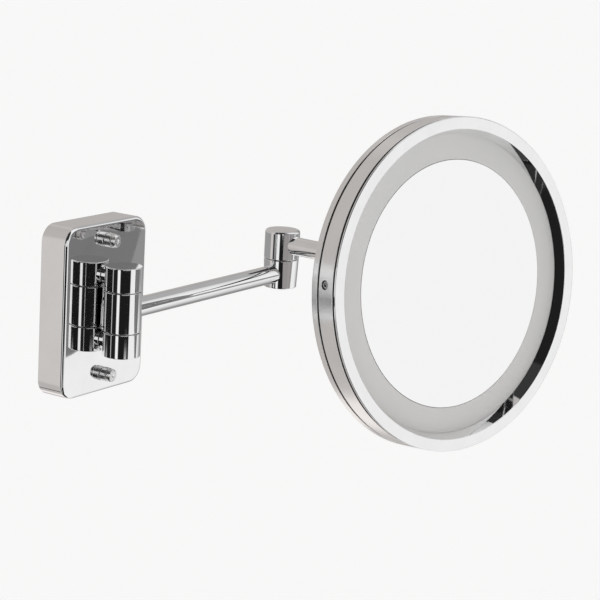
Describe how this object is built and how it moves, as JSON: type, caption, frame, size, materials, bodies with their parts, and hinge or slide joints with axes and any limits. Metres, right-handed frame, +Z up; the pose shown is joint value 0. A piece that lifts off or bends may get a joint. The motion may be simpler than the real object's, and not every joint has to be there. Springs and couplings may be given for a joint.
{
  "type": "extendable shaving mirror",
  "caption": "Round lit wall mirror on a two-part folding swing arm: rounded wall box, knuckle hinges, chrome tubes, swivel and tilt head with a frosted light ring.",
  "frame": {"origin": "centre of the wall bracket's back face, on the wall", "axes": "+Z up, +Y into the wall, -Y out into the room, +X to the right seen from the room"},
  "size_m": [0.3026, 0.2202, 0.219],
  "materials": {
    "chrome": "bright chrome plate, mirror polished",
    "steel": "plain zinc-plated steel",
    "nylon": "natural nylon washer",
    "seal": "black matt rubber",
    "white_plastic": "white moulded plastic",
    "dark_plastic": "dark moulded plastic",
    "diffuser": "frosted light ring, unlit",
    "mirror": "silvered mirror glass",
    "board": "white coated circuit board",
    "foam": "black foam mounting pad",
    "lead": "white sheathed low-voltage lead"
  },
  "bodies": {
    "wall_unit": {"wall_bracket": "steel", "cable_grommet": "seal", "stud_upper": "steel", "stud_lower": "steel", "cover_box": "chrome", "stiffener_plate": "steel", "knuckle_screw_upper": "steel", "knuckle_screw_lower": "steel", "led_driver": "white_plastic", "terminal_block": "dark_plastic", "knuckle_top": "chrome", "knuckle_bottom": "chrome", "wall_hinge_pin": "steel", "wall_pin_screw": "steel", "wall_washer_upper": "nylon", "wall_washer_lower": "nylon"},
    "upper_nut": {"thumb_nut_upper": "chrome"},
    "lower_nut": {"thumb_nut_lower": "chrome"},
    "first_arm": {"knuckle_middle": "chrome", "arm_1_tube": "chrome", "lead_arm_1": "lead", "elbow_knuckle_lower": "chrome", "elbow_pin": "steel", "elbow_pin_screw": "steel", "elbow_washer": "nylon"},
    "second_arm": {"elbow_knuckle_upper": "chrome", "arm_2_tube": "chrome", "lead_arm_2": "lead", "arm_2_end": "chrome"},
    "yoke": {"swivel_yoke": "chrome", "swivel_pin": "chrome", "swivel_circlip": "steel"},
    "mirror_head": {"tilt_pin": "chrome", "tilt_nut": "chrome", "tilt_washer_left": "nylon", "tilt_washer_right": "nylon", "head_bracket": "chrome", "bracket_screw_1": "chrome", "bracket_screw_2": "chrome", "bracket_screw_3": "chrome", "bracket_screw_4": "chrome", "rear_cover": "chrome", "side_band": "chrome", "band_screw_left": "chrome", "band_screw_low": "chrome", "band_screw_high": "chrome", "rear_seal_ring": "seal", "front_seal_ring": "seal", "front_bezel": "chrome", "diffuser_ring": "diffuser", "mirror_glass": "mirror", "glass_pad": "foam", "light_tray": "white_plastic", "led_board": "board"}
  },
  "joints": [
    {"name": "upper_nut_spin", "type": "hinge", "parent": "wall_unit", "child": "upper_nut", "pos_m": [0, -0.025, 0.0436], "axis": [0, 1, 0], "continuous": true},
    {"name": "lower_nut_spin", "type": "hinge", "parent": "wall_unit", "child": "lower_nut", "pos_m": [0, -0.025, -0.0436], "axis": [0, 1, 0], "continuous": true},
    {"name": "wall_hinge", "type": "hinge", "parent": "wall_unit", "child": "first_arm", "pos_m": [0, -0.0346, 0], "axis": [0, 0, 1], "range_deg": [-180, 0]},
    {"name": "elbow_hinge", "type": "hinge", "parent": "first_arm", "child": "second_arm", "pos_m": [0.1745, -0.0346, 0.0102], "axis": [0, 0, 1], "range_deg": [-10, 200]},
    {"name": "head_swivel", "type": "hinge", "parent": "second_arm", "child": "yoke", "pos_m": [0.16517, -0.14119, 0.0205], "axis": [0, 0, 1], "range_deg": [-45, 64]},
    {"name": "head_tilt", "type": "hinge", "parent": "yoke", "child": "mirror_head", "pos_m": [0.16099, -0.15715, 0.0165], "axis": [-0.9673, 0.2538, 0], "range_deg": [-35, 30]}
  ]
}
